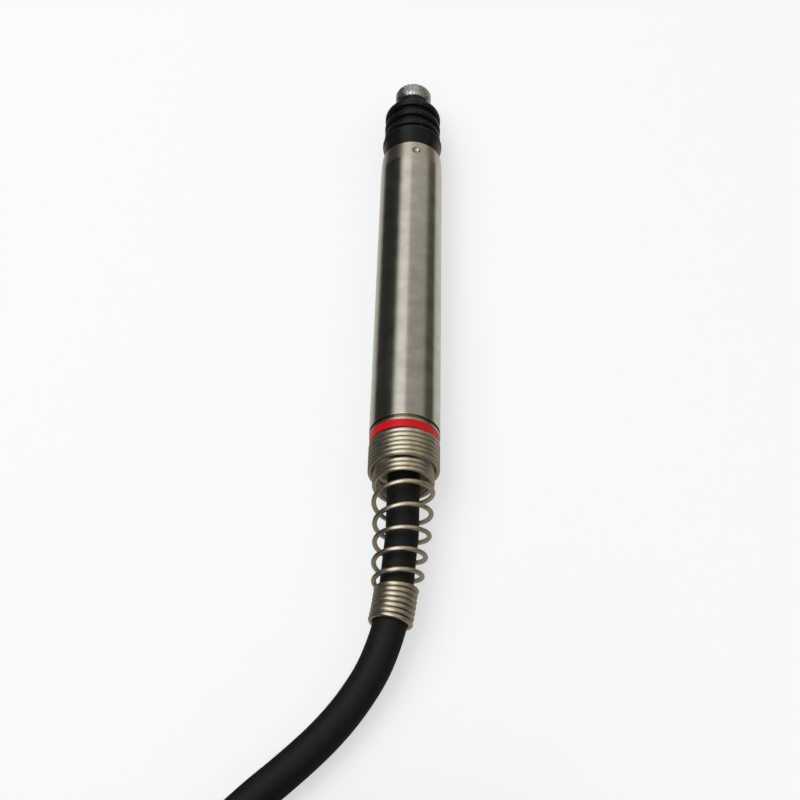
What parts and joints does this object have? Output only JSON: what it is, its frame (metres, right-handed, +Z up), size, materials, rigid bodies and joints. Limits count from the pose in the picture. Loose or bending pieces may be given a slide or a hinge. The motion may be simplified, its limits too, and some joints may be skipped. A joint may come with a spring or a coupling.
{
  "type": "lvdt displacement sensor",
  "caption": "Pencil gauging probe: ground stem, sprung plunger in a ball guide under a bellows gaiter, contact point, wound strain-relief spring and cable with plug.",
  "frame": {"origin": "on the floor under the middle of the probe from its contact ball to its rear housing's end", "axes": "+Y along the stem's axis towards the contact point, +Z up"},
  "size_m": [0.0404, 0.1814, 0.0292],
  "materials": {
    "ground_steel": "centreless ground, satin along the turn",
    "bearing_steel": "fine turned",
    "cage_brass": "turned",
    "polished_steel": "polished",
    "black_spring_steel": "blackened",
    "spring_wire": "drawn wire",
    "knurled_steel": "diamond knurl",
    "carbide": "polished",
    "gaiter_rubber": "moulded, dull",
    "nickel_iron": "annealed, dull",
    "bobbin_plastic": "moulded",
    "copper_winding": "enamelled wire",
    "board_laminate": "laminate",
    "gold_pin": "plated",
    "core_insulation": "insulation",
    "turned_steel": "turned",
    "black_rubber": "moulded",
    "red_plastic": "smooth",
    "nickel_spring": "nickel-plated wire",
    "black_jacket": "matt jacket",
    "tie_nylon": "woven tie",
    "boot_rubber": "moulded",
    "plug_nickel": "nickel plated",
    "plug_plastic": "moulded"
  },
  "bodies": {
    "barrel": {"body_tube": "ground_steel", "front_bush": "bearing_steel", "guide_pin": "bearing_steel", "return_spring": "spring_wire", "gaiter": "gaiter_rubber", "spring_seat": "bearing_steel", "bobbin": "bobbin_plastic", "front_secondary_coil": "copper_winding", "primary_coil": "copper_winding", "rear_secondary_coil": "copper_winding", "shield_tube": "nickel_iron", "terminal_board": "board_laminate", "solder_pins": "gold_pin", "core_wires": "core_insulation", "rear_housing": "turned_steel", "o_ring": "black_rubber", "red_ring": "red_plastic", "crimp_ferrule": "cage_brass", "strain_spring": "nickel_spring", "cable": "black_jacket", "cable_hank": "black_jacket", "cable_tail": "black_jacket", "hank_tie": "tie_nylon", "plug_boot": "boot_rubber", "plug_grip": "plug_nickel", "plug_shell": "plug_nickel", "plug_insert": "plug_plastic", "plug_pins": "gold_pin"},
    "plunger_unit": {"plunger": "bearing_steel", "stop_ring": "black_spring_steel", "contact_tip": "knurled_steel", "contact_ball": "carbide", "core_rod": "polished_steel", "core": "nickel_iron"},
    "cage": {"ball_cage": "cage_brass", "bearing_balls": "polished_steel"}
  },
  "joints": [
    {"name": "plunger_slide", "type": "slide", "parent": "barrel", "child": "plunger_unit", "axis": [0, 1, 0], "range_m": [-0.003, 0], "stiffness_N_per_m": 70, "springref_m": 0.01, "deforming": ["gaiter", "return_spring"]},
    {"name": "cage_slide", "type": "slide", "parent": "barrel", "child": "cage", "axis": [0, 1, 0], "range_m": [-0.0015, 0]}
  ],
  "couplings": [
    {"joint": "cage_slide", "follows": "plunger_slide", "ratio": 0.5}
  ]
}
